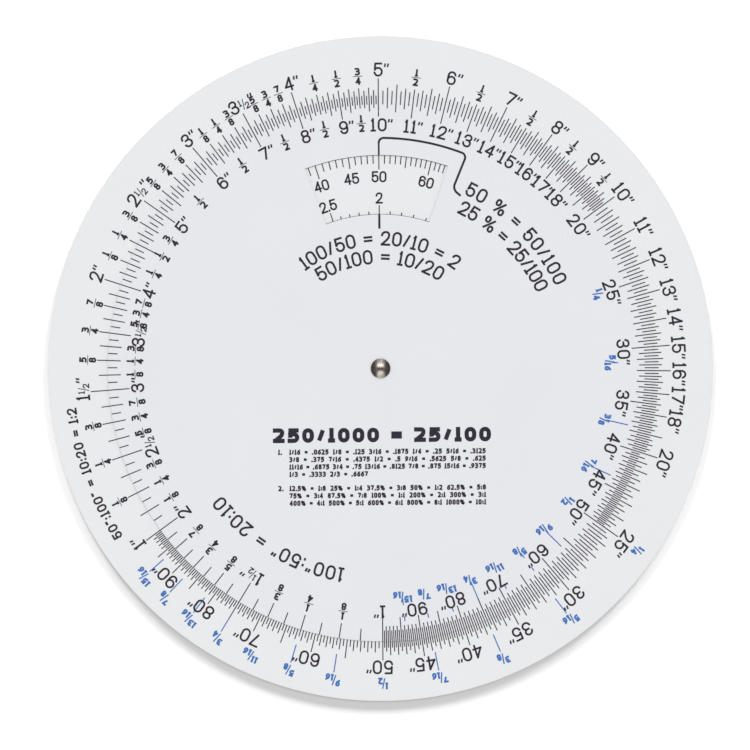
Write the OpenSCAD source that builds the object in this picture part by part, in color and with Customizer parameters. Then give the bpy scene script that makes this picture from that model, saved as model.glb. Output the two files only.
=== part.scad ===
// Proportional scale wheel, 8 in across, lying face up.
// A round dial turns on a rivet over a larger base disc. Two matching logarithmic inch scales meet
// at the dial's edge: the original's size is read on the dial and the reproduction's size on the rim.
// A window cut through the dial shows two more scales on the base, the percentage and the number of
// times of reduction. Every scale covers two decades in one full turn, so they all share one law.
// Lengths are in millimetres. The rivet's axis is +Z, the base disc's back face is z = 0, and the
// zero line of the scales points along +Y. Values grow clockwise, seen from the front.

/* [Base disc] */
// Width of the rim that shows around the dial
rim_w = 18.25; // [15:0.05:30]
// Thickness of the base sheet
base_t = 1; // [0.9:0.05:2]
// Gap between the two sheets
sheet_gap = 0.1; // [0.06:0.01:0.25]

/* [Dial] */
// Diameter of the turning dial
dial_d = 166.7; // [140:0.1:200]
// Thickness of the dial sheet
dial_t = 0.5; // [0.3:0.05:1.2]
// Running clearance around the rivet's shank in the dial, on the radius
dial_clearance = 0.05; // [0.02:0.01:0.1]
// Play between the dial's face and the rivet's head
end_float = 0.05; // [0.02:0.01:0.1]

/* [Window] */
// Distance from the dial's edge in to the window's outer edge
window_inset = 18.15; // [15:0.05:22]
// Height of the window, along the radius
window_h = 18.15; // [10:0.05:22]
// Angle of the window to the left of the zero line
window_left = 20.3; // [10:0.1:40]
// Angle of the window to the right of the zero line
window_right = 18.9; // [10:0.1:20]

/* [Rivet] */
// Diameter of the shank
shank_d = 3.2; // [2.6:0.1:4]
// Clearance around the shank in the base disc and the washer, on the radius
base_clearance = 0.02; // [0.01:0.01:0.05]
// Diameter of the domed head
head_d = 6.1; // [5.4:0.1:9]
// Height of the head
head_h = 0.8; // [0.6:0.05:1.2]
// Radius of the head's rolled edge
head_edge_r = 0.16; // [0.1:0.01:0.25]
// Diameter of the dimple in the middle of the head
dimple_d = 1.5; // [0.8:0.1:2.4]
// Depth of the dimple
dimple_depth = 0.14; // [0.05:0.01:0.3]
// Bore of the hollow tail
tail_bore_d = 2.2; // [1.4:0.1:2.3]
// Depth of the bore, from the tail's end
tail_bore_depth = 1.1; // [0.6:0.05:1.3]
// Diameter of the tail's rolled rim
roll_d = 5.4; // [4.8:0.1:6.4]
// Thickness of the tail's rolled rim
roll_t = 0.34; // [0.2:0.02:0.36]
// Distance of the rolled rim below the base disc's back face
tail_inset = 0.04; // [0.02:0.01:0.1]

/* [Back washer] */
// Diameter of the washer
washer_d = 7.6; // [7:0.1:10]
// Thickness of the washer
washer_t = 0.2; // [0.1:0.02:0.25]
// Clearance around the washer in its pressed seat, on the radius
seat_clearance = 0.15; // [0.1:0.05:0.5]

/* [Printed lines] */
// Width of a graduation line
line_w = 0.31; // [0.15:0.01:0.32]
// Thickness of the printed ink
ink_t = 0.03; // [0.02:0.005:0.05]
// Width of the thin line along the window's edges
baseline_w = 0.14; // [0.1:0.01:0.25]
// Width of the blue leaders between the scales and their fractions
leader_w = 0.34; // [0.15:0.01:0.4]
// Distance that the scales under the dial run on past the edges over them
underlap = 0.3; // [0.2:0.05:0.6]

/* [Reproduction scale, on the base disc's rim] */
// Value on the zero line, in inches
rim_zero = 5; // [1:0.5:20]
// Line lengths from 1 to 2 in: sixteenths, eighths, halves
rim_1_to_2 = [2.7, 3.3, 5.45]; // [1:0.05:9]
// Line lengths from 2 to 4 in: sixteenths, eighths, halves
rim_2_to_4 = [1.7, 2.75, 5.2]; // [1:0.05:9]
// Line lengths from 4 to 5 in: sixteenths, eighths, inches
rim_4_to_5 = [1.7, 2.5, 5.25]; // [1:0.05:9]
// Line lengths from 5 to 10 in: sixteenths, eighths and halves, quarters, inches
rim_5_to_10 = [1.5, 2.5, 3.55, 5.3]; // [1:0.05:9]
// Line lengths from 10 to 20 in: eighths, quarters, halves, inches
rim_10_to_20 = [1.65, 2.6, 3.05, 5.3]; // [1:0.05:9]
// Line lengths from 20 to 50 in: quarters, halves, inches, every 5 in
rim_20_to_50 = [2, 3.2, 4.3, 5.55]; // [1:0.05:9]
// Line lengths from 50 to 100 in: halves, inches, every 5 in
rim_50_to_100 = [2.2, 3.4, 5.85]; // [1:0.05:9]
// Start of the blue leaders, measured out from the dial's edge
rim_leader_start = 4.9; // [3:0.05:7]
// End of the blue leaders, measured in from the base disc's edge
rim_leader_inset = 7.65; // [3:0.05:9]

/* [Original scale, on the dial] */
// Value on the zero line, in inches
dial_zero = 10; // [1:0.5:20]
// Distance from the dial's edge in to the roots of the lines
edge_margin = 0.05; // [0.02:0.01:0.3]
// Line lengths from 1 to 2 in: sixteenths, eighths, halves
dial_1_to_2 = [3.6, 4.6, 6.75]; // [1:0.05:8]
// Line lengths from 2 to 5 in: sixteenths, eighths, halves
dial_2_to_5 = [2.9, 3.95, 6.4]; // [1:0.05:8]
// Line lengths from 5 to 10 in: sixteenths, eighths and halves, quarters, inches
dial_5_to_10 = [2.65, 3.7, 4.75, 6.4]; // [1:0.05:8]
// Line lengths from 10 to 20 in: eighths, quarters, halves, inches
dial_10_to_20 = [2.65, 3.85, 4.9, 6.4]; // [1:0.05:8]
// Line lengths from 20 to 50 in: quarters, halves, inches, every 5 in
dial_20_to_50 = [2.65, 4.3, 5, 6.4]; // [1:0.05:8]
// Line lengths from 50 to 100 in: halves, inches, every 5 in
dial_50_to_100 = [3.25, 4.6, 7.2]; // [1:0.05:8]
// Start and end of the blue leaders, measured in from the roots of the lines
dial_leader = [5.8, 12.6]; // [4:0.05:14]
// Numerals that some of the leaders break for: top and foot, measured in from the roots of the lines
dial_numerals = [7.2, 10.7]; // [6:0.05:12]

/* [Percentage scale, in the window] */
// Percentage on the zero line
percent_zero = 50; // [10:5:100]
// Line lengths: single steps, every 5, every 10
percent_len = [2.65, 3.55, 4.4]; // [1:0.05:5]

/* [Reduction scale, in the window] */
// Number of times of reduction on the zero line
times_zero = 2; // [1:0.5:10]
// Line lengths: tenths, halves
times_len = [1, 2.85]; // [0.6:0.05:4]

/* [Pointers on the dial] */
// Width of the pointer line from the window up and round to its heading
pointer_w = 0.66; // [0.3:0.01:0.9]
// Width of the pointer's stem at the window
stem_w = 0.54; // [0.25:0.01:0.8]
// Height of the pointer's arc above the window's outer edge
pointer_rise = 5.2; // [3:0.05:8]
// Radius of the pointer's bends
pointer_bend_r = 1.5; // [0.8:0.05:2]
// Angle between the window's right end and the pointer's line back in beside it
pointer_beside = 3.5; // [1.5:0.1:20]
// Length of the straight line back in
pointer_drop = 8.2; // [6:0.05:12]
// Radius of the curl at the pointer's end
curl_r = 2.3; // [1:0.05:3]
// Angle of the curl
curl_angle = 72; // [20:1:80]
// Length of the straight tip after the curl
tip_len = 1.5; // [0.4:0.05:3]
// Length of the lower pointer, in from the window's inner edge
lower_pointer_len = 4.35; // [2:0.05:8]

/* [Hidden] */
$fn = 180;

dial_r = dial_d / 2;
base_r = dial_r + rim_w;
window_outer_r = dial_r - window_inset;
window_inner_r = window_outer_r - window_h;
shank_r = shank_d / 2;
washer_r = washer_d / 2;
roll_r = roll_d / 2;
head_r = head_d / 2;

// Levels, from the back face up
washer_z = tail_inset + roll_t;
seat_depth = washer_z + washer_t;
dial_z = base_t + sheet_gap;
dial_top = dial_z + dial_t;
head_z = dial_top + end_float;
head_top = head_z + head_h;
cut_through = 1;

// Straight pieces that each of the pointer's bends and arcs is made of
bend_facets = 16;

// Each scale's decades run from 1 to 100, and one turn holds both of them
turn_per_decade = 360 / 2;
top_value = 100;

// Bands of the two inch scales: from, to, divisions of an inch, line lengths, and which of the
// lengths every so many divisions take; a later entry takes over from an earlier one
rim_bands = [
    [1, 2, 16, rim_1_to_2, [[1, 0], [2, 1], [8, 2]]],
    [2, 4, 16, rim_2_to_4, [[1, 0], [2, 1], [8, 2]]],
    [4, 5, 16, rim_4_to_5, [[1, 0], [2, 1], [16, 2]]],
    [5, 10, 16, rim_5_to_10, [[1, 0], [2, 1], [4, 2], [8, 1], [16, 3]]],
    [10, 20, 8, rim_10_to_20, [[1, 0], [2, 1], [4, 2], [8, 3]]],
    [20, 50, 4, rim_20_to_50, [[1, 0], [2, 1], [4, 2], [20, 3]]],
    [50, top_value, 2, rim_50_to_100, [[1, 0], [2, 1], [10, 2]]]
];
dial_bands = [
    [1, 2, 16, dial_1_to_2, [[1, 0], [2, 1], [8, 2]]],
    [2, 5, 16, dial_2_to_5, [[1, 0], [2, 1], [8, 2]]],
    [5, 10, 16, dial_5_to_10, [[1, 0], [2, 1], [4, 2], [8, 1], [16, 3]]],
    [10, 20, 8, dial_10_to_20, [[1, 0], [2, 1], [4, 2], [8, 3]]],
    [20, 50, 4, dial_20_to_50, [[1, 0], [2, 1], [4, 2], [20, 3]]],
    [50, top_value, 2, dial_50_to_100, [[1, 0], [2, 1], [10, 2]]]
];

// Bands of the two window scales over one decade, used again ten times larger for the second
percent_decade = [
    [10, 20, 2, percent_len, [[1, 0], [10, 1], [20, 2]]],
    [20, 100, 1, percent_len, [[1, 0], [5, 1], [10, 2]]]
];
times_decade = [
    [1, 10, 10, times_len, [[1, 0], [5, 1]]]
];

// Blue leaders stand at sixteenths of the last hundred. On the dial some run past the numerals, and
// the others keep only the stretch between a line and the numerals' tops, or from their feet in
sixteenth = top_value / 16;
rim_leader_marks = [5, 6, 7, 9, 10, 12, 13, 14, 15];
dial_leader_marks = [6, 7, 9, 12];
dial_upper_marks = [10, 11, 13, 14, 15];
dial_lower_marks = [5, 10, 15];

// Clockwise angle of a value whose scale has its zero line at value zero
function mark_angle(value, zero) = turn_per_decade * log(value / zero);

// Length that the rules of a band give to its i-th division
function mark_length(band, i) =
    let (rules = [for (rule = band[4]) if (i % rule[0] == 0) rule[1]])
    band[3][rules[len(rules) - 1]];

// Every line of a scale as its value and its length
function band_marks(bands) = [
    for (band = bands)
        for (i = [band[0] * band[2] : band[1] * band[2] - 1])
            [i / band[2], mark_length(band, i)]
];

// Distance from the scale's root at which a leader starts: past the line of its value, if there is one
function leader_start(value, bands, start) =
    max(concat([start], [for (mark = band_marks(bands)) if (mark[0] == value) mark[1]]));

// One printed line along the radius, at a clockwise angle from the zero line
module radial_line(angle, r_from, r_to, w) {
    rotate(-angle)
        translate([-w / 2, min(r_from, r_to)])
            square([w, abs(r_to - r_from)]);
}

// A ring of ink between two radii
module ink_ring(r_inner, r_outer) {
    difference() {
        circle(r_outer);
        circle(r_inner);
    }
}

// Lines that start on one radius and run outwards, or inwards where way is -1
module graduations(marks, zero, root_r, way) {
    for (mark = marks)
        radial_line(mark_angle(mark[0], zero), root_r, root_r + way * mark[1], line_w);
}

// Points round an arc between two anticlockwise angles from +X, without its first point
function arc_points(centre, r, from, to) = [
    for (i = [1 : bend_facets])
        let (angle = from + (to - from) * i / bend_facets)
        centre + r * [cos(angle), sin(angle)]
];

// A point turned clockwise round the rivet
function turned(point, angle) = [
    point[0] * cos(angle) + point[1] * sin(angle),
    point[1] * cos(angle) - point[0] * sin(angle)
];

// A pie slice that reaches past radius r, less than half a turn wide
module sector(r, from, to) {
    middle = (from + to) / 2;
    polygon([
        [0, 0],
        r * [cos(from), sin(from)],
        r * [cos(middle), sin(middle)] / cos((to - from) / 2),
        r * [cos(to), sin(to)]
    ]);
}

module base_disc() {
    color("gainsboro")
    difference() {
        cylinder(r = base_r, h = base_t);
        translate([0, 0, -cut_through])
            cylinder(r = shank_r + base_clearance, h = base_t + 2 * cut_through);
        translate([0, 0, -cut_through])
            cylinder(r = washer_r + seat_clearance, h = seat_depth + cut_through);
    }
}

module dial_disc() {
    color("whitesmoke")
    translate([0, 0, dial_z])
    difference() {
        cylinder(r = dial_r, h = dial_t);
        translate([0, 0, -cut_through])
            cylinder(r = shank_r + dial_clearance, h = dial_t + 2 * cut_through);
        translate([0, 0, -cut_through])
            rotate(90 - window_right)
                rotate_extrude(angle = window_left + window_right)
                    translate([window_inner_r, 0])
                        square([window_h, dial_t + 2 * cut_through]);
    }
}

module reproduction_graduations() {
    color("dimgray")
    translate([0, 0, base_t])
        linear_extrude(ink_t)
            graduations(
                [for (mark = band_marks(rim_bands)) [mark[0], mark[1] + underlap]],
                rim_zero, dial_r - underlap, 1
            );
}

module reproduction_leaders() {
    color("royalblue")
    translate([0, 0, base_t])
        linear_extrude(ink_t)
            for (i = rim_leader_marks)
                radial_line(
                    mark_angle(i * sixteenth, rim_zero),
                    dial_r + leader_start(i * sixteenth, rim_bands, rim_leader_start),
                    base_r - rim_leader_inset, leader_w
                );
}

module percentage_graduations() {
    marks = concat(
        band_marks(percent_decade),
        [for (mark = band_marks(percent_decade)) [10 * mark[0], mark[1]]]
    );
    color("dimgray")
    translate([0, 0, base_t])
        linear_extrude(ink_t) {
            ink_ring(window_outer_r - baseline_w, window_outer_r + underlap);
            graduations(marks, percent_zero, window_outer_r, -1);
        }
}

module reduction_graduations() {
    marks = concat(
        band_marks(times_decade),
        [for (mark = band_marks(times_decade)) [mark[0] / 10, mark[1]]]
    );
    color("dimgray")
    translate([0, 0, base_t])
        linear_extrude(ink_t) {
            ink_ring(window_inner_r - underlap, window_inner_r + baseline_w);
            mirror([1, 0])
                graduations(marks, times_zero, window_inner_r, 1);
        }
}

module original_graduations() {
    color("dimgray")
    translate([0, 0, dial_top])
        linear_extrude(ink_t)
            graduations(band_marks(dial_bands), dial_zero, dial_r - edge_margin, -1);
}

module original_leaders() {
    line_r = dial_r - edge_margin;
    color("royalblue")
    translate([0, 0, dial_top])
        linear_extrude(ink_t) {
            for (i = concat(dial_leader_marks, dial_upper_marks)) {
                long = len(search(i, dial_leader_marks)) > 0;
                radial_line(
                    mark_angle(i * sixteenth, dial_zero),
                    line_r - leader_start(i * sixteenth, dial_bands, dial_leader[0]),
                    line_r - (long ? dial_leader[1] : dial_numerals[0]), leader_w
                );
            }
            for (i = dial_lower_marks)
                radial_line(
                    mark_angle(i * sixteenth, dial_zero),
                    line_r - dial_numerals[1], line_r - dial_leader[1], leader_w
                );
        }
}

// One side of the pointer, 1 for the left and -1 for the right. It runs up from the window, bends
// clockwise into an arc round the rivet, bends back in beside the window and curls away at its end.
function pointer_side(side) =
    let (
        half_w = side * pointer_w / 2,
        arc_r = window_outer_r + pointer_rise,
        bend = asin(pointer_bend_r / (arc_r - pointer_bend_r)),
        bend_y = (arc_r - pointer_bend_r) * cos(bend),
        turn = window_right + pointer_beside,
        back_centre = turned([-pointer_bend_r, bend_y], turn),
        curl_centre = turned([curl_r, bend_y - pointer_drop], turn),
        curl_end = 180 - turn + curl_angle,
        tip_root = curl_centre + (curl_r - half_w) * [cos(curl_end), sin(curl_end)]
    )
    concat(
        [[-side * stem_w / 2, window_outer_r], [-side * stem_w / 2, bend_y], [-half_w, bend_y]],
        arc_points([pointer_bend_r, bend_y], pointer_bend_r + half_w, 180, 90 - bend),
        arc_points([0, 0], arc_r + half_w, 90 - bend, 90 - turn + bend),
        arc_points(back_centre, pointer_bend_r + half_w, 90 - turn + bend, -turn),
        [curl_centre - (curl_r - half_w) * [cos(turn), -sin(turn)]],
        arc_points(curl_centre, curl_r - half_w, 180 - turn, curl_end),
        [tip_root + tip_len * [-sin(curl_end), cos(curl_end)]]
    );

module percentage_pointer() {
    left = pointer_side(1);
    right = pointer_side(-1);
    color("dimgray")
    translate([0, 0, dial_top])
        linear_extrude(ink_t)
            polygon(concat(left, [for (i = [len(right) - 1 : -1 : 0]) right[i]]));
}

module reduction_pointer() {
    color("dimgray")
    translate([0, 0, dial_top])
        linear_extrude(ink_t)
            radial_line(0, window_inner_r - lower_pointer_len, window_inner_r, pointer_w);
}

// The rivet in half section: domed head with a rolled edge and a dimple, solid shank, hollow tail
// with its rim rolled over the washer
module rivet() {
    edge_x = head_r - head_edge_r;
    edge_z = head_z + head_edge_r;
    dome_rise = head_top - edge_z;
    dome_r = (pow(edge_x, 2) + pow(dome_rise, 2) - pow(head_edge_r, 2)) / (2 * (dome_rise - head_edge_r));
    dome_z = head_top - dome_r;
    blend = atan2(edge_x, edge_z - dome_z);
    dimple_r = (pow(dimple_d / 2, 2) + pow(dimple_depth, 2)) / (2 * dimple_depth);
    roll_x = roll_r - roll_t / 2;
    color("silver")
    rotate_extrude()
        difference() {
            union() {
                translate([0, head_z])
                    square([edge_x, head_edge_r]);
                translate([edge_x, edge_z])
                    circle(head_edge_r);
                intersection() {
                    translate([0, dome_z])
                        circle(dome_r);
                    translate([0, dome_z])
                        sector(2 * dome_r, 90 - blend, 90);
                    translate([0, edge_z])
                        square([head_r, head_h]);
                }
                translate([0, washer_z])
                    square([shank_r, head_z - washer_z]);
                translate([0, tail_inset])
                    square([roll_x, roll_t]);
                translate([roll_x, tail_inset + roll_t / 2])
                    circle(roll_t / 2);
            }
            square([tail_bore_d / 2, tail_inset + tail_bore_depth]);
            translate([0, head_top - dimple_depth + dimple_r])
                circle(dimple_r);
        }
}

module back_washer() {
    color("silver")
    translate([0, 0, washer_z])
    difference() {
        cylinder(r = washer_r, h = washer_t);
        translate([0, 0, -cut_through])
            cylinder(r = shank_r + base_clearance, h = washer_t + 2 * cut_through);
    }
}

base_disc();
reproduction_graduations();
reproduction_leaders();
percentage_graduations();
reduction_graduations();
dial_disc();
original_graduations();
original_leaders();
percentage_pointer();
reduction_pointer();
rivet();
back_washer();
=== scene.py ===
"""Proportional scale wheel: the finishes, printed numerals, camera and light around its solids.

Everything is in the solids' own frame: the rivet's axis is +Z, the base disc's back face is z = 0,
and the zero line of the scales points along +Y. Values grow clockwise, seen from the front.
Print is drawn in millimetres and pressed onto the sheets in metres.
"""
from collections import namedtuple
from functools import cache, cached_property
from math import ceil, copysign, cos, log10, pi, radians, sin, tan

import bmesh
import bpy
from mathutils import Matrix, Vector


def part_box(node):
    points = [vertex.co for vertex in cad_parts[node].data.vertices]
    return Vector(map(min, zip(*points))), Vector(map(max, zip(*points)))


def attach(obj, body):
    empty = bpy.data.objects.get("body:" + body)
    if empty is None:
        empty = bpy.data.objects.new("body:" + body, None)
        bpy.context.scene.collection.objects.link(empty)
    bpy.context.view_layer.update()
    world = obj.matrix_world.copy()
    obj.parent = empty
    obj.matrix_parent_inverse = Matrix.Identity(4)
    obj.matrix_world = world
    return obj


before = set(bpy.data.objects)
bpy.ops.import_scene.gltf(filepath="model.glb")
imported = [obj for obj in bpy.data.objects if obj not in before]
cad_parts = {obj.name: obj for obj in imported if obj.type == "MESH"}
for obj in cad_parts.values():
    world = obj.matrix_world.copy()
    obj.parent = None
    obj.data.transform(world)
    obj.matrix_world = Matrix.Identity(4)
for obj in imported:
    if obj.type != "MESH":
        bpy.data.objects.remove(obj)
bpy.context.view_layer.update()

MM = 0.001

# Scale law: a value's angle, clockwise from +Y. Two decades fill the turn, and the inch scales end
# at the top value. Each scale has its own value on the zero line.
TURN_PER_DECADE = pi
TOP_VALUE = 100
RIM_ZERO = 5
DIAL_ZERO = 10
PERCENT_ZERO = 50
TIMES_ZERO = 2

# Radii of the print, in mm: numerals stand on theirs, fractions are centred on their bar
RIM_NUMERAL_R = 89.15
RIM_BAR_R = 89.5
RIM_LEADER_R = 94.45
DIAL_NUMERAL_R = 72.35
DIAL_BAR_R = 75.0
DIAL_LEADER_R = 68.35
PERCENT_R = 56.85
TIMES_R = 50.35

# Thickness of a film of ink, in mm. Black is printed last, over blue and over the scale lines.
BLACK_FILM = 0.035
BLUE_FILM = 0.032
# Each stroke of a sign lies this share of a film higher than the one before
STROKE_STEP = 0.03


def add_to_scene(name, data):
    thing = bpy.data.objects.new(name, data)
    bpy.context.scene.collection.objects.link(thing)
    return thing


# ---------------------------------------------------------------------------------------------
# Numerals, drawn with a pen of constant width
# ---------------------------------------------------------------------------------------------

# Height and width of a digit, width of the pen and gap between digits, in mm
Type = namedtuple("Type", "height width pen gap")
RIM_TYPE = Type(4.3, 2.85, 0.6, 0.5)
DIAL_TYPE = Type(4.1, 2.75, 0.6, 0.5)
WINDOW_TYPE = Type(3.45, 2.2, 0.54, 0.14)
STACKED_TYPE = Type(2.3, 1.6, 0.56, 0.26)
LEADER_TYPE = Type(2.1, 1.4, 0.6, 0.2)
LEGEND_TYPE = Type(4.5, 2.95, 0.66, 0.55)
RIM_LEGEND_TYPE = Type(3.1, 2.1, 0.58, 0.42)
HEADING_TYPE = Type(4.5, 3.6, 1.32, 0.8)
TABLE_TYPE = Type(1.65, 1, 0.43, 0.16)

# Pen of the inch marks, as a share of their numeral's pen
MARK_PEN = 0.85
# Level bar of a stacked fraction: its pen and its distance from both numbers, in mm, and its length
# as a share of a digit's width
BAR_PEN = 0.2
BAR_GAP = 0.3
BAR_LENGTH = 1.8
# Slanted bar of a fraction: its pen and width, and how far the lower number lies below the upper
# one, as shares of a digit's pen, width and height
SLASH_PEN = 0.66
SLASH_WIDTH = 1.1
SLASH_DROP = 0.72
# Steps along it, as shares of a digit's width: from the upper number to the bar's foot, and from
# there to the bar's middle and to the lower number
FOOT_STEP = 0.1
MIDDLE_STEP = 0.25
LOWER_STEP = 0.45

# Largest turn that one facet of a bend takes
BEND_STEP = radians(24)
# Lengths under this count as none
TINY = 1e-6

# A closed stroke round the sides of a sign's box, whose corners the pen rounds off
RING = [(0, 0.5), (0, 1), (1, 1), (1, 0), (0, 0), (0, 0.5)]


def in_box(points, x0, y0, x1, y1):
    """The points of a stroke, squeezed into part of the sign's box."""
    return [(x0 + x * (x1 - x0), y0 + y * (y1 - y0)) for x, y in points]


def strokes_of_digits(hook):
    """The digits that end in a hook, with hooks as long as a share of the digit's height."""
    start = [(0, 1 - hook)] if hook else []
    end = [(0, hook)] if hook else []
    tip = [(0.93, 1 - 0.8 * hook)] if hook else []
    six = [tip + [(0.93, 1), (0, 1), (0, 0.3)], in_box(RING, 0, 0, 1, 0.62)]
    return {
        "2": [start + [(0, 1), (0.96, 1), (0.96, 0.56), (0, 0)], [(0, 0), (1, 0)]],
        "3": [
            in_box(start, 0.03, 0, 1, 1) + [(0.03, 1), (0.95, 1), (0.95, 0.54), (0.35, 0.54)],
            [(0.35, 0.54), (1, 0.54), (1, 0), (0, 0)] + end,
        ],
        "5": [
            [(0.12, 1), (0.92, 1)],
            [(0.12, 1), (0.05, 0.5)],
            [(0.05, 0.5), (0.05, 0.64), (1, 0.64), (1, 0), (0, 0)] + end,
        ],
        "6": six,
        "9": [[(1 - x, 1 - y) for x, y in stroke] for stroke in six],
    }


# Each sign's width as a share of a digit's, and its strokes in a box from (0, 0) to (1, 1)
SIGNS = {
    "0": (1, [RING]),
    "1": (0.6, [[(0.5, 0), (0.5, 1)], [(0, 0), (1, 0)], [(0.5, 1), (0.3, 0.86), (0, 0.82)]]),
    "4": (1, [[(0.76, 1), (0, 0.28)], [(0, 0.28), (1, 0.28)], [(0.76, 0), (0.76, 1)]]),
    "7": (1, [[(0, 1), (1, 1)], [(1, 1), (0.32, 0)]]),
    "8": (1, [in_box(RING, 0.05, 0.53, 0.95, 1), in_box(RING, 0, 0, 1, 0.53)]),
    "/": (0.7, [[(0, 0), (1, 1)]]),
    ":": (0.1, [[(0.5, 0.1), (0.5, 0.14)], [(0.5, 0.6), (0.5, 0.64)]]),
    ".": (0.1, [[(0.5, 0), (0.5, 0.04)]]),
    "=": (0.9, [[(0, 0.34), (1, 0.34)], [(0, 0.62), (1, 0.62)]]),
    "-": (1, [[(0, 0), (1, 0)]]),
    "%": (1.4, [
        in_box(RING, 0, 0.56, 0.36, 1),
        in_box(RING, 0.64, 0, 1, 0.44),
        [(0.18, 0), (0.82, 1)],
    ]),
    '"': (0.64, [[(0.06, 0.71), (0.26, 1)], [(0.76, 0.71), (0.96, 1)]]),
    " ": (0.55, []),
}
SIGNS |= {digit: (1, strokes) for digit, strokes in strokes_of_digits(0.25).items()}
PLAIN_DIGITS = strokes_of_digits(0)

# Digits this much taller than their pen, and more, have room for hooks
HOOK_ROOM = 5


def far_end(made):
    """The last two points that an extrusion or a spin has made, and the edge between them."""
    ends = [g for g in made if isinstance(g, bmesh.types.BMVert)]
    edges = [g for g in made if isinstance(g, bmesh.types.BMEdge)]
    return ends, [edge for edge in edges if set(edge.verts) == set(ends)]


def pen_stroke(ink, points, pen):
    """Drags an edge as wide as the pen from point to point and spins it round each bend.

    A bend is as round as half of each run beside it allows, or all of the first or last run. An
    upright or level end is squared off half a pen's width further on.
    """
    points = [Vector(p) for p in points]
    closed = (points[0] - points[-1]).length < TINY
    for end, inner in ((0, 1), (-1, -2)):
        run = points[end] - points[inner]
        if not closed and min(abs(run.x), abs(run.y)) < TINY:
            points[end] = points[end] + run.normalized() * pen / 2
    runs = [b - a for a, b in zip(points, points[1:])]
    last = len(runs) - 1
    room = [run.length if k in (0, last) else run.length / 2 for k, run in enumerate(runs)]
    cuts = [min(pair) for pair in zip(room, room[1:])]

    across = runs[0].normalized().orthogonal() * pen / 2
    ends = [ink.verts.new((*(points[0] + side * across), 0)) for side in (1, -1)]
    tip = [ink.edges.new(ends)]
    for k, run in enumerate(runs):
        ahead = run.normalized()
        length = run.length - (cuts[k - 1] if k else 0) - (cuts[k] if k < last else 0)
        if length > TINY:
            ends, tip = far_end(bmesh.ops.extrude_edge_only(ink, edges=tip)["geom"])
            bmesh.ops.translate(ink, verts=ends, vec=(*(ahead * length), 0))
        if k < last:
            turn = -run.angle_signed(runs[k + 1])
            radius = cuts[k] / tan(abs(turn) / 2)
            middle = sum((v.co for v in ends), Vector()) / 2
            to_left = Vector((-ahead.y, ahead.x, 0))
            ends, tip = far_end(bmesh.ops.spin(
                ink, geom=ends + tip, cent=middle + to_left * copysign(radius, turn),
                axis=(0, 0, 1), angle=turn, steps=ceil(abs(turn) / BEND_STEP),
            )["geom_last"])


def closed_film(ink, thickness):
    """Joins the facets of a flat stroke and thickens it upwards to a film with closed sides."""
    bmesh.ops.remove_doubles(ink, verts=ink.verts, dist=TINY)
    bmesh.ops.recalc_face_normals(ink, faces=ink.faces)
    for face in ink.faces:
        if face.normal.z < 0:
            face.normal_flip()
    bmesh.ops.solidify(ink, geom=ink.faces[:], thickness=-thickness)
    bmesh.ops.recalc_face_normals(ink, faces=ink.faces)


@cache
def sign_mesh(sign, kind):
    """One sign in one type, standing on y = 0, centred on x = 0 and about one film thick."""
    share, strokes = SIGNS[sign]
    if kind.height < HOOK_ROOM * kind.pen:
        strokes = PLAIN_DIGITS.get(sign, strokes)
    pen = kind.pen
    width = max(share * kind.width, pen) - pen
    mesh = bpy.data.meshes.new(f"sign_{ord(sign)}")
    whole = bmesh.new()
    for number, stroke in enumerate(strokes):
        ink = bmesh.new()
        pen_stroke(ink, [
            ((x - 0.5) * width, pen / 2 + y * (kind.height - pen)) for x, y in stroke
        ], pen)
        closed_film(ink, 1 + number * STROKE_STEP)
        ink.to_mesh(mesh)
        ink.free()
        whole.from_mesh(mesh)
    whole.to_mesh(mesh)
    whole.free()
    return mesh


def sign_width(sign, kind):
    return max(SIGNS[sign][0] * kind.width, kind.pen)


def text_width(text, kind):
    return sum(sign_width(sign, kind) for sign in text) + kind.gap * (len(text) - 1)


def line_of(text, kind, start=0, foot=0):
    """The signs of a line of text as (sign, type, x of its middle, y of its foot)."""
    placed = []
    for sign in text:
        width = sign_width(sign, kind)
        placed.append((sign, kind, start + width / 2, foot))
        start += width + kind.gap
    return placed


def centred(text, kind, foot=0):
    return line_of(text, kind, -text_width(text, kind) / 2, foot)


def fitted(text, kind, width):
    """A centred line whose gaps are opened or closed until it has the width."""
    spare = width - text_width(text, kind)
    return centred(text, kind._replace(gap=kind.gap + spare / (len(text) - 1)))


def justified(words, kind, width):
    """A line from x = 0 whose words have even gaps and fill the width."""
    gap = (width - sum(text_width(word, kind) for word in words)) / (len(words) - 1)
    placed, start = [], 0
    for word in words:
        placed += line_of(word, kind, start)
        start += text_width(word, kind) + gap
    return placed


def stacked(top, bottom, kind):
    """A fraction with a level bar: its two numbers stand close above and below y = 0."""
    bar = kind._replace(width=kind.width * BAR_LENGTH, pen=BAR_PEN)
    return (
        centred(top, kind, BAR_GAP)
        + centred(bottom, kind, -BAR_GAP - kind.height)
        + [("-", bar, 0, -BAR_PEN / 2)]
    )


def slanted(top, bottom, kind, start=0, foot=0):
    """A fraction with a slanted bar: its numbers stand left above and right below the bar."""
    drop = SLASH_DROP * kind.height
    slash = kind._replace(
        height=kind.height + drop, width=kind.width * SLASH_WIDTH, pen=kind.pen * SLASH_PEN
    )
    slash_x = start + text_width(top, kind) + FOOT_STEP * kind.width
    return (
        line_of(top, kind, start, foot + drop)
        + [("/", slash, slash_x + MIDDLE_STEP * kind.width, foot)]
        + line_of(bottom, kind, slash_x + LOWER_STEP * kind.width, foot)
    )


def slanted_width(top, bottom, kind):
    between = (FOOT_STEP + LOWER_STEP) * kind.width
    return text_width(top, kind) + between + text_width(bottom, kind)


# ---------------------------------------------------------------------------------------------
# Pressing print onto a sheet
# ---------------------------------------------------------------------------------------------

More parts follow.
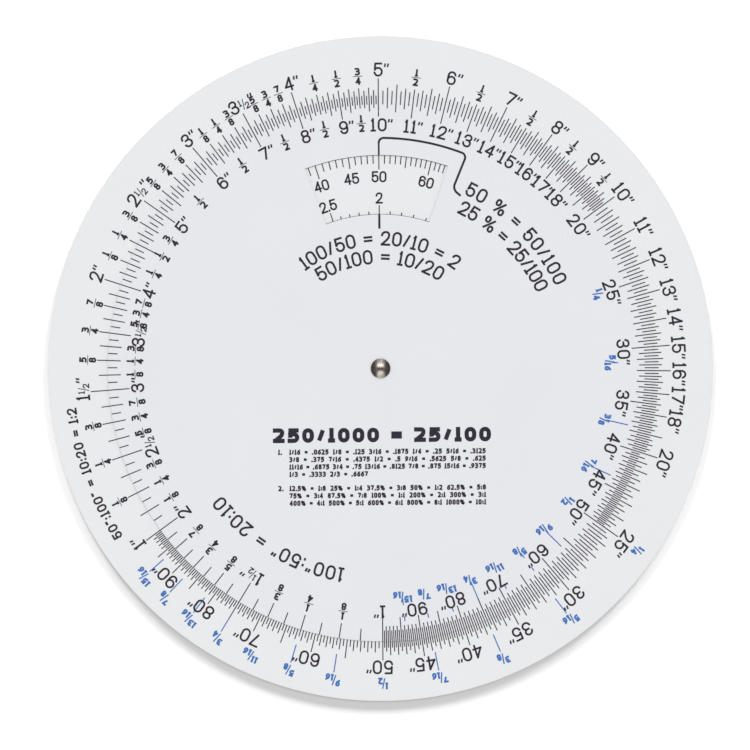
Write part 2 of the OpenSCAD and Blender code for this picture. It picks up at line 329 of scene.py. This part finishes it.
class Print:
    """The print of one ink on one body, gathered into one piece."""

    def __init__(self, name, level, film=BLACK_FILM):
        self.name = name
        self.to_sheet = Matrix.LocRotScale((0, 0, level), None, (MM, MM, film * MM))
        self.ink = bmesh.new()

    def press(self, placed, place):
        for sign, kind, x, y in placed:
            if not SIGNS[sign][1]:
                continue
            first = len(self.ink.verts)
            self.ink.from_mesh(sign_mesh(sign, kind))
            self.ink.verts.ensure_lookup_table()
            bmesh.ops.transform(self.ink, matrix=place(x, y), verts=self.ink.verts[first:])

    def on_arc(self, placed, radius, turn):
        """Presses signs along an arc, tops outwards, centred on a clockwise angle."""
        self.press(placed, lambda x, y: (
            Matrix.Rotation(-turn - x / radius, 4, "Z") @ Matrix.Translation((0, radius + y, 0))
        ))

    def on_line(self, placed, x, y):
        self.press(placed, lambda dx, dy: Matrix.Translation((x + dx, y + dy, 0)))

    def piece(self, body, slot, finish):
        """Ends the print: one object whose place is in its mesh, riding on its body."""
        bmesh.ops.transform(self.ink, matrix=self.to_sheet, verts=self.ink.verts)
        mesh = bpy.data.meshes.new(self.name)
        self.ink.to_mesh(mesh)
        self.ink.free()
        mesh.materials.append(finish)
        piece = add_to_scene(self.name, mesh)
        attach(piece, body)
        return piece


def turn_of(value, zero):
    return TURN_PER_DECADE * log10(value / zero)


def parts_of_one(division):
    """The fractions between 0 and 1 in steps of 1 / division, a power of two, in lowest terms."""
    return [(n / division).as_integer_ratio() for n in range(1, division)]


# Values in inches that have a numeral, and into how many parts stacked fractions divide an inch
NUMERALS = [1, 1.5, 2, 2.5, 3, 3.5, *range(4, 19), *range(20, 50, 5), *range(50, 100, 10)]
DIVISIONS = {1: 8, 2: 8, 3: 8, 4: 4, 5: 2, 6: 2, 7: 2, 8: 2, 9: 2}


def numeral(value, kind):
    """An inch numeral, centred without its inch mark, with a small half if it needs one."""
    whole = str(int(value))
    width = text_width(whole, kind)
    small = kind._replace(
        height=kind.height * 0.48, width=kind.width * 0.5, pen=kind.pen * 0.6, gap=0.1
    )
    has_half = value % 1 != 0
    half_gap = 0.3
    half_width = half_gap + slanted_width("1", "2", small) if has_half else 0
    start = -(width + half_width) / 2
    placed = line_of(whole, kind, start)
    if has_half:
        placed += slanted("1", "2", small, start + width + half_gap)
    mark = kind._replace(pen=kind.pen * MARK_PEN)
    mark_gap = 0.1
    return placed + line_of('"', mark, start + width + half_width + mark_gap)


def inch_scale(black, zero, numeral_r, bar_r, kind):
    """Numerals and stacked fractions of one of the two inch scales."""
    for value in NUMERALS:
        black.on_arc(numeral(value, kind), numeral_r, turn_of(value, zero))
    for inch, division in DIVISIONS.items():
        for top, bottom in parts_of_one(division):
            value = inch + top / bottom
            if value not in NUMERALS:
                fraction = stacked(str(top), str(bottom), STACKED_TYPE)
                black.on_arc(fraction, bar_r, turn_of(value, zero))


def leader_fractions(blue, zero, foot_r):
    """Blue fractions of the top value of a scale, in sixteenths from a quarter up."""
    for top, bottom in parts_of_one(16):
        if top / bottom >= 1 / 4:
            texts = str(top), str(bottom)
            start = -slanted_width(*texts, LEADER_TYPE) / 2
            turn = turn_of(TOP_VALUE * top / bottom, zero)
            blue.on_arc(slanted(*texts, LEADER_TYPE, start), foot_r, turn)


def percentage_numerals(black):
    for decade in (1, 10):
        for value in (10, 15, 20, 25, 30, 35, 40, 45, 50, 60, 70, 80, 90):
            turn = turn_of(value * decade, PERCENT_ZERO)
            black.on_arc(centred(str(value * decade), WINDOW_TYPE), PERCENT_R, turn)


def reduction_numerals(black):
    for text in ("1", "1.5", "2", "2.5", "3", "3.5", "4", "5", "6", "7", "8", "9",
                 ".1", ".15", ".2", ".25", ".3", ".4", ".5", ".6", ".7", ".8", ".9"):
        turn = -turn_of(float(text), TIMES_ZERO)
        black.on_arc(centred(text, WINDOW_TYPE), TIMES_R, turn)


def legends(black):
    """Plain sums along arcs round the rivet: text, width, radius and clockwise turn in degrees."""
    for text, width, radius, turn in (
        ("100/50 = 20/10 = 2", 48.8, 37.5, 0.2),
        ("50/100 = 10/20", 38.2, 31.9, 0),
        ("50 % = 50/100", 40.3, 58.9, 45.6),
        ("25 % = 25/100", 35.2, 52.9, 45.6),
        ('100":50" = 20:10', 44.4, 61.9, -148.8),
    ):
        black.on_arc(fitted(text, LEGEND_TYPE, width), radius, radians(turn))


def equivalents(black):
    """A heading over two blocks of text: fractions with their decimals, percentages as ratios."""
    black.on_line(fitted("250/1000 = 25/100", HEADING_TYPE, width=66.6), x=0.25, y=-22.55)
    parts = parts_of_one(16) + [(1, 3), (2, 3)]
    ratios = parts_of_one(8) + [(n, 1) for n in (1, 2, 3, 4, 5, 6, 8, 10)]
    blocks = (
        [f"{top}/{bottom} = {top / bottom:.4f}".rstrip("0") for top, bottom in parts],
        [f"{100 * top / bottom:g}% = {top}:{bottom}" for top, bottom in ratios],
    )
    left, number_left, width = -28.1, -31.5, 60
    foot, row_step, rows_between = -26.2, 2.26, 0.9
    full_line = 5
    for number, block in enumerate(blocks, 1):
        black.on_line(line_of(f"{number}.", TABLE_TYPE), number_left, foot)
        for k in range(0, len(block), full_line):
            entries = block[k:k + full_line]
            words = " ".join(entries).replace("0.", ".").split()
            share = len(entries) / full_line
            black.on_line(justified(words, TABLE_TYPE, width * share), left, foot)
            foot -= row_step
        foot -= rows_between * row_step


# ---------------------------------------------------------------------------------------------
# Finishes
# ---------------------------------------------------------------------------------------------

class Wire:
    """An output in a node tree. Arithmetic on wires and numbers adds the Math nodes."""

    def __init__(self, nodes, socket):
        self.nodes = nodes
        self.socket = socket

    def math(self, operation, *values):
        return self.nodes.add("Math", {"operation": operation}, *values)

    def __add__(self, other):
        return self.math("ADD", self, other)

    def __sub__(self, other):
        return self.math("SUBTRACT", self, other)

    def __rsub__(self, other):
        return self.math("SUBTRACT", other, self)

    def __mul__(self, other):
        return self.math("MULTIPLY", self, other)

    __radd__, __rmul__ = __add__, __mul__

    def between(self, low, high):
        """0 at low, 1 at high, smooth between them and level beyond."""
        settings = {"interpolation_type": "SMOOTHSTEP"}
        return self.nodes.add("MapRange", settings, self, low, high, 0, 1)


def blend(share, start, end):
    """From start, where the share is 0, to end, where it is 1."""
    return start + (end - start) * share


class Nodes:
    """The emptied node tree of a material or world, wired up from its values on."""

    def __init__(self, owner):
        owner.use_nodes = True
        self.tree = owner.node_tree
        self.tree.nodes.clear()

    def add(self, kind, settings, *values, output=0, **named):
        """Adds a node: its settings first, then the values or wires of its sockets."""
        node = self.tree.nodes.new("ShaderNode" + kind)
        for key, value in settings.items():
            setattr(node, key, value)
        sockets = list(zip(node.inputs, values))
        sockets += [(node.inputs[key.replace("_", " ")], value) for key, value in named.items()]
        for socket, value in sockets:
            if isinstance(value, Wire):
                self.tree.links.new(value.socket, socket)
            elif value is not None:
                socket.default_value = value
        return Wire(self, node.outputs[output]) if node.outputs else None

    def light_path(self, kind):
        return self.add("LightPath", {}, output=kind)

    def mirrored(self):
        """1 on what metal or glass shows of the surroundings, 0 elsewhere."""
        glossy, transmitted = map(self.light_path, ("Is Glossy Ray", "Is Transmission Ray"))
        return glossy.math("MAXIMUM", glossy, transmitted)


class Finish(Nodes):
    """A procedural material. Every pattern reads the piece's own object coordinates."""

    def __init__(self, name):
        self.material = bpy.data.materials.new(name)
        super().__init__(self.material)
        self.place = self.add("TexCoord", {}, output="Object")

    @cached_property
    def height(self):
        return self.add("SeparateXYZ", {}, self.place, output="Z")

    @cached_property
    def radius(self):
        """Distance from the rivet's axis."""
        flat = self.add("VectorMath", {"operation": "MULTIPLY"}, self.place, (1, 1, 0))
        return self.add("VectorMath", {"operation": "LENGTH"}, flat, output="Value")

    def noise(self, size, detail=2):
        """Noise whose features are about size metres across."""
        return self.add("TexNoise", {}, self.place, Scale=1 / size, Detail=detail)

    def mix(self, share, start, end):
        """From one colour to another. The node has five unused sockets before its colours."""
        unused = [None] * 5
        return self.add("Mix", {"data_type": "RGBA"}, share, *unused, start, end, output=2)

    def done(self, depth, relief, **sockets):
        """Ends the material. Relief is a wire from 0 to 1 that stands for depth in metres."""
        normal = self.add("Bump", {}, Distance=depth, Height=relief)
        surface = self.add("BsdfPrincipled", {}, Normal=normal, **sockets)
        self.add("OutputMaterial", {}, surface)
        return self.material


def screen(red, green, blue):
    """A colour as read off a screen, from 0 to 255, as the linear colour that a shader takes."""
    def channel(level):
        share = level / 255
        return share / 12.92 if share <= 0.04045 else ((share + 0.055) / 1.055) ** 2.4
    return (*map(channel, (red, green, blue)), 1)


def sheet_finish(name, node, face, shaded, edge):
    """Satin sheet: a faintly clouded face with a fine grain, rubbed in places and a little worn
    along its edge, and a duller cut side."""
    finish = Finish(name)
    low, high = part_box(node)
    cloud = finish.noise(0.03, detail=4)
    rubbed = finish.noise(0.009, detail=5).between(0.52, 0.68)
    skin = 0.03 * MM
    on_front = finish.height.between(high.z - 2 * skin, high.z - skin)
    on_back = 1 - finish.height.between(low.z + skin, low.z + 2 * skin)
    on_cut = 1 - on_front - on_back
    worn = finish.radius.between(high.x - 0.8 * MM, high.x)
    colour = finish.mix(cloud, face, shaded)
    colour = finish.mix(0.35 * worn + on_cut, colour, edge)
    return finish.done(
        0.004 * MM, finish.noise(0.00025, detail=3),
        Base_Color=colour,
        Roughness=0.42 + 0.06 * cloud + 0.1 * rubbed + 0.2 * on_cut,
        Specular_IOR_Level=0.35,
    )


def ink_finish(name, solid, thin):
    """Screened ink, slightly uneven where it lies thin on the sheet."""
    finish = Finish(name)
    cover = finish.noise(0.0004, detail=3)
    return finish.done(
        0.003 * MM, finish.noise(0.00012),
        Base_Color=finish.mix(cover.between(0.45, 0.75), solid, thin),
        Roughness=0.5 + 0.15 * cover,
        Specular_IOR_Level=0.3,
    )


def turned_finish(name, clean, dull_and_shade_colour, painted_shade_centre):
    """Plated metal with the rings of the tool that spun its head, duller where it has aged, and
    darker round one spot just below the head's middle, which is painted shade in its dimple."""
    finish = Finish(name)
    ring_pitch = 0.06 * MM
    wander = finish.noise(0.0006)
    phase = finish.radius * (2 * pi / ring_pitch) + 2.5 * wander
    # The spot just below the head's middle is painted shade in the dimple; the rest of the dulling
    # is random tarnish
    distance_to_shade = finish.add("VectorMath", {"operation": "DISTANCE"}, finish.place, painted_shade_centre, output="Value")
    painted_shade_spot = 1 - distance_to_shade.between(0.2 * MM, 0.6 * MM)
    tarnish_and_shade = 0.4 * finish.noise(0.0016, detail=4).between(0.4, 0.7) + painted_shade_spot
    return finish.done(
        0.001 * MM, phase.math("SINE", phase) * 0.5 + 0.5,
        Base_Color=finish.mix(tarnish_and_shade, clean, dull_and_shade_colour),
        Roughness=0.16 + 0.3 * tarnish_and_shade,
        Metallic=1.0,
    )


base_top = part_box("base_disc")[1].z
dial_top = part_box("dial_disc")[1].z

base_sheet = sheet_finish(
    "base_sheet", "base_disc",
    face=screen(236, 237, 238), shaded=screen(232, 233, 235), edge=screen(228, 228, 227),
)
dial_sheet = sheet_finish(
    "dial_sheet", "dial_disc",
    face=screen(233, 234, 238), shaded=screen(229, 230, 235), edge=screen(222, 222, 223),
)
black_ink = ink_finish("black_ink", solid=screen(42, 39, 52), thin=screen(62, 58, 76))
blue_ink = ink_finish("blue_ink", solid=screen(58, 110, 184), thin=screen(88, 140, 208))
# The dull colour serves both the aged metal and the painted shade spot below the head's middle
rivet_metal = turned_finish(
    "rivet_metal", clean=screen(216, 208, 198), dull_and_shade_colour=screen(140, 122, 106),
    painted_shade_centre=(0, -0.32 * MM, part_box("rivet")[1].z),
)

NODE_FINISHES = {
    "base_disc": base_sheet,
    "dial_disc": dial_sheet,
    "reproduction_graduations": black_ink,
    "original_graduations": black_ink,
    "percentage_graduations": black_ink,
    "reduction_graduations": black_ink,
    "percentage_pointer": black_ink,
    "reduction_pointer": black_ink,
    "reproduction_leaders": blue_ink,
    "original_leaders": blue_ink,
    "rivet": rivet_metal,
    "back_washer": rivet_metal,
}
for node_name, finish in NODE_FINISHES.items():
    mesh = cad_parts[node_name].data
    mesh.materials.clear()
    mesh.materials.append(finish)


# ---------------------------------------------------------------------------------------------
# The print
# ---------------------------------------------------------------------------------------------

rim_print = Print("rim_numerals", base_top)
inch_scale(rim_print, RIM_ZERO, RIM_NUMERAL_R, RIM_BAR_R, RIM_TYPE)
rim_print.piece("base", "black_ink", black_ink)

rim_legend = Print("rim_legend", base_top)
rim_legend.on_arc(
    fitted('50":100" = 10:20 = 1:2', RIM_LEGEND_TYPE, width=42), radius=93.7, turn=radians(-109.7)
)
rim_legend.piece("base", "black_ink", black_ink)

rim_blue = Print("rim_leader_fractions", base_top, BLUE_FILM)
leader_fractions(rim_blue, RIM_ZERO, RIM_LEADER_R)
rim_blue.piece("base", "blue_ink", blue_ink)

window_print = Print("window_numerals", base_top)
percentage_numerals(window_print)
reduction_numerals(window_print)
window_print.piece("base", "black_ink", black_ink)

dial_print = Print("dial_numerals", dial_top)
inch_scale(dial_print, DIAL_ZERO, DIAL_NUMERAL_R, DIAL_BAR_R, DIAL_TYPE)
dial_print.piece("dial", "black_ink", black_ink)

dial_blue = Print("dial_leader_fractions", dial_top, BLUE_FILM)
leader_fractions(dial_blue, DIAL_ZERO, DIAL_LEADER_R)
dial_blue.piece("dial", "blue_ink", blue_ink)

dial_legends = Print("dial_legends", dial_top)
legends(dial_legends)
dial_legends.piece("dial", "black_ink", black_ink)

dial_table = Print("dial_equivalents", dial_top)
equivalents(dial_table)
dial_table.piece("dial", "black_ink", black_ink)


# ---------------------------------------------------------------------------------------------
# Camera, light and floor
# ---------------------------------------------------------------------------------------------

# The picture: its side in pixels, what a pixel covers on the base disc, the pixel of the rivet's
# axis, and how far the wheel lies turned anticlockwise
PICTURE_SIDE = 750
PIXEL = 0.3055 * MM
AXIS_PIXEL = Vector((380.6, 368.5))
WHEEL_TILT = radians(0.47)
# The camera: its height over the base disc in metres, and the width of its sensor in mm
CAMERA_HEIGHT = 1.2
SENSOR = 36


def look_down():
    """A long lens that looks straight down on the wheel, turned a little so that it lies askew."""
    data = bpy.data.cameras.new("camera")
    data.sensor_width = SENSOR
    data.lens = SENSOR * CAMERA_HEIGHT / (PICTURE_SIDE * PIXEL)
    data.clip_start, data.clip_end = 0.05, 20
    camera = add_to_scene("camera", data)
    middle = Vector((PICTURE_SIDE / 2 - AXIS_PIXEL.x, AXIS_PIXEL.y - PICTURE_SIDE / 2)) * PIXEL
    camera.location = (*middle, base_top + CAMERA_HEIGHT)
    camera.rotation_euler.z = -WHEEL_TILT
    bpy.context.scene.camera = camera


def sun(name, azimuth, elevation, level, spread):
    """A broad distant lamp that lights a level surface to its share of white. It stands at a
    clockwise angle from +Y, and metal shows the studio's panels in its place."""
    data = bpy.data.lights.new(name, "SUN")
    data.energy = level * pi / sin(elevation)
    data.angle = spread
    towards = Vector((
        sin(azimuth) * cos(elevation), cos(azimuth) * cos(elevation), sin(elevation)
    ))
    lamp = add_to_scene(name, data)
    lamp.rotation_euler = towards.to_track_quat("Z", "Y").to_euler()
    lamp.visible_glossy = False
    return lamp


def studio_world(level):
    """Even light of one level from all round. The camera sees white. Metal sees two panels
    overhead, one towards +Y and one towards -Y, between dim flanks, and a white backdrop round
    the horizon."""
    bpy.context.scene.world = bpy.data.worlds.new("studio")
    nodes = Nodes(bpy.context.scene.world)
    direction = nodes.add("TexCoord", {}, output="Generated")
    x, y, z = (nodes.add("SeparateXYZ", {}, direction, output=axis) for axis in "XYZ")
    beside = x.math("ABSOLUTE", x)
    upper = y.between(0.04, 0.14) - 0.7 * y.between(0.24, 0.36)
    lower = (0 - y).between(0.12, 0.26) - 0.4 * (0 - y).between(0.42, 0.54)
    overhead = blend(beside.between(0.1, 0.3), 0.25 + 2.4 * upper + 1.2 * lower, 0.08)
    round_about = blend(z.between(0.25, 0.5), 1, overhead)
    strength = blend(nodes.mirrored(), level, round_about)
    strength = blend(nodes.light_path("Is Camera Ray"), strength, 1)
    nodes.add("OutputWorld", {}, nodes.add("Background", {}, Strength=strength))


def white_floor(half_side, colour, glow):
    """A pale floor that shows white from above and keeps the object's shadow. It is clear from
    below, and to the light that falls on the object."""
    mesh = bpy.data.meshes.new("floor")
    sheet = bmesh.new()
    just_below = Matrix.Translation((0, 0, -0.02 * MM))
    bmesh.ops.create_grid(sheet, x_segments=1, y_segments=1, size=half_side, matrix=just_below)
    sheet.to_mesh(mesh)
    sheet.free()
    material = bpy.data.materials.new("floor")
    nodes = Nodes(material)
    lit = nodes.add(
        "AddShader", {},
        nodes.add("BsdfDiffuse", {}, (colour, colour, colour, 1)),
        nodes.add("Emission", {}, (glow, glow, glow, 1)),
    )
    from_below = nodes.add("NewGeometry", {}, output="Backfacing")
    seen = (nodes.light_path("Is Camera Ray") + nodes.mirrored()) * (1 - from_below)
    clear = nodes.add("BsdfTransparent", {})
    nodes.add("OutputMaterial", {}, nodes.add("MixShader", {}, seen, clear, lit))
    mesh.materials.append(material)
    floor = add_to_scene("floor", mesh)
    return floor


look_down()
studio_world(level=0.95)
sun("overhead_lamp", azimuth=radians(15), elevation=radians(65), level=0.25, spread=radians(30))
floor_only = bpy.data.collections.new("floor_only")
floor_only.objects.link(white_floor(half_side=4, colour=0.5, glow=0.1))
# Two low lamps light the floor alone. The wheel's shadow is dark only where it hides both of them.
for name, azimuth in (("left_low_lamp", -21), ("right_low_lamp", 31)):
    low_lamp = sun(name, radians(azimuth), elevation=radians(7.5), level=0.64, spread=radians(25))
    low_lamp.light_linking.receiver_collection = floor_only
bpy.context.scene.view_settings.view_transform = "Standard"
